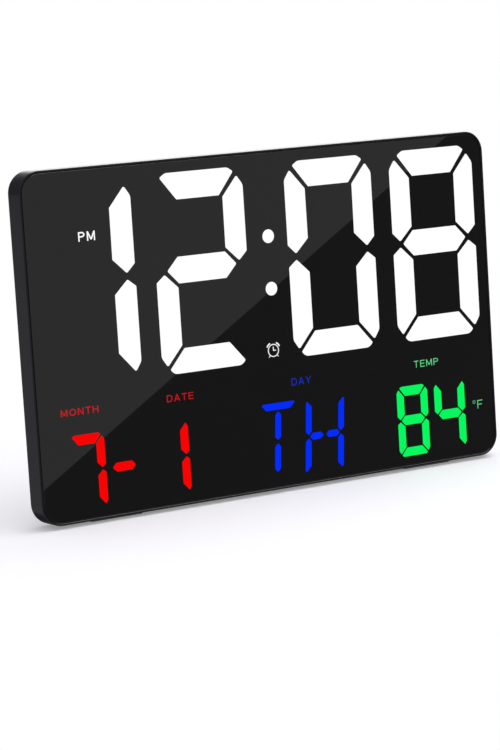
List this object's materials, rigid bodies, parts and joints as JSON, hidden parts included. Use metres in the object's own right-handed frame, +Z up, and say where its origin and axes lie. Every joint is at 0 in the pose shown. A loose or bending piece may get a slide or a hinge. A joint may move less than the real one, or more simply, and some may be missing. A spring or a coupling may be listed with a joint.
{
  "type": "digital wall clock",
  "caption": "Flat digital wall clock with a glossy front panel of lit time, date, weekday and temperature segments, a keyhole back and a fold-out stand that leans it back on a table.",
  "frame": {"origin": "on the floor under the middle of the clock's bounding box, the clock standing on its feet and stand", "axes": "+X to the right along the display as a reader sees it, +Y from the display to the back, +Z up"},
  "size_m": [0.38, 0.054, 0.2384],
  "materials": {
    "frame_plastic": "satin",
    "panel_gloss": "polished",
    "white_light": "lit diffuse lens",
    "red_light": "lit diffuse lens",
    "blue_light": "lit diffuse lens",
    "green_light": "lit diffuse lens",
    "film": "matt diffusing",
    "reflector_white": "matt",
    "circuit_board": "solder mask",
    "led_package": "moulded",
    "chip_epoxy": "moulded",
    "receiver_epoxy": "moulded",
    "probe_epoxy": "dipped",
    "capacitor_can": "sleeved can",
    "component_black": "moulded",
    "bright_steel": "plated",
    "black_steel": "black oxide",
    "rear_plastic": "fine moulded grain",
    "button_plastic": "satin",
    "rubber": "matt"
  },
  "bodies": {
    "clock": {"blue_leds": "led_package", "board_header": "component_black", "button_board": "circuit_board", "button_board_screws": "bright_steel", "button_switches": "component_black", "buzzer": "component_black", "case_screws": "black_steel", "cell_contacts": "bright_steel", "clock_crystal": "bright_steel", "coin_cell": "bright_steel", "colon_dots": "white_light", "date_segments": "red_light", "day_segments": "blue_light", "diffuser_film": "film", "display_board": "circuit_board", "display_board_screws": "bright_steel", "driver_chips": "chip_epoxy", "filter_capacitor": "capacitor_can", "front_frame": "frame_plastic", "front_panel": "panel_gloss", "green_leds": "led_package", "hour_segments": "white_light", "infrared_receiver": "receiver_epoxy", "inlet_pin": "bright_steel", "microcontroller": "chip_epoxy", "minute_segments": "white_light", "power_inlet": "component_black", "rear_cover": "rear_plastic", "red_leds": "led_package", "reflector": "reflector_white", "rubber_feet": "rubber", "stand_pins": "bright_steel", "temperature_probe": "probe_epoxy", "temperature_segments": "green_light", "unlit_segments": "panel_gloss", "white_leds": "led_package"},
    "stand": {"stand_leg": "rear_plastic", "stand_tip": "rubber"},
    "door": {"battery_door": "rear_plastic", "battery_door_screw": "black_steel"},
    "mode_button": {"mode_button": "button_plastic"},
    "set_button": {"set_button": "button_plastic"},
    "up_button": {"up_button": "button_plastic"},
    "down_button": {"down_button": "button_plastic"},
    "alarm_button": {"alarm_button": "button_plastic"}
  },
  "joints": [
    {"name": "stand_fold", "type": "hinge", "parent": "clock", "child": "stand", "pos_m": [0, 0.00902, 0.07692], "axis": [-1, 0, 0], "range_deg": [0, 15]},
    {"name": "battery_door_swing", "type": "hinge", "parent": "clock", "child": "door", "pos_m": [0.0928, 0.00817, 0.05603], "axis": [-1, 0, 0], "range_deg": [0, 85]},
    {"name": "mode_button_press", "type": "slide", "parent": "clock", "child": "mode_button", "axis": [0, -0.9932, 0.1167], "range_m": [0, 0.001], "stiffness_N_per_m": 800},
    {"name": "set_button_press", "type": "slide", "parent": "clock", "child": "set_button", "axis": [0, -0.9932, 0.1167], "range_m": [0, 0.001], "stiffness_N_per_m": 800},
    {"name": "up_button_press", "type": "slide", "parent": "clock", "child": "up_button", "axis": [0, -0.9932, 0.1167], "range_m": [0, 0.001], "stiffness_N_per_m": 800},
    {"name": "down_button_press", "type": "slide", "parent": "clock", "child": "down_button", "axis": [0, -0.9932, 0.1167], "range_m": [0, 0.001], "stiffness_N_per_m": 800},
    {"name": "alarm_button_press", "type": "slide", "parent": "clock", "child": "alarm_button", "axis": [0, -0.9932, 0.1167], "range_m": [0, 0.001], "stiffness_N_per_m": 800}
  ]
}
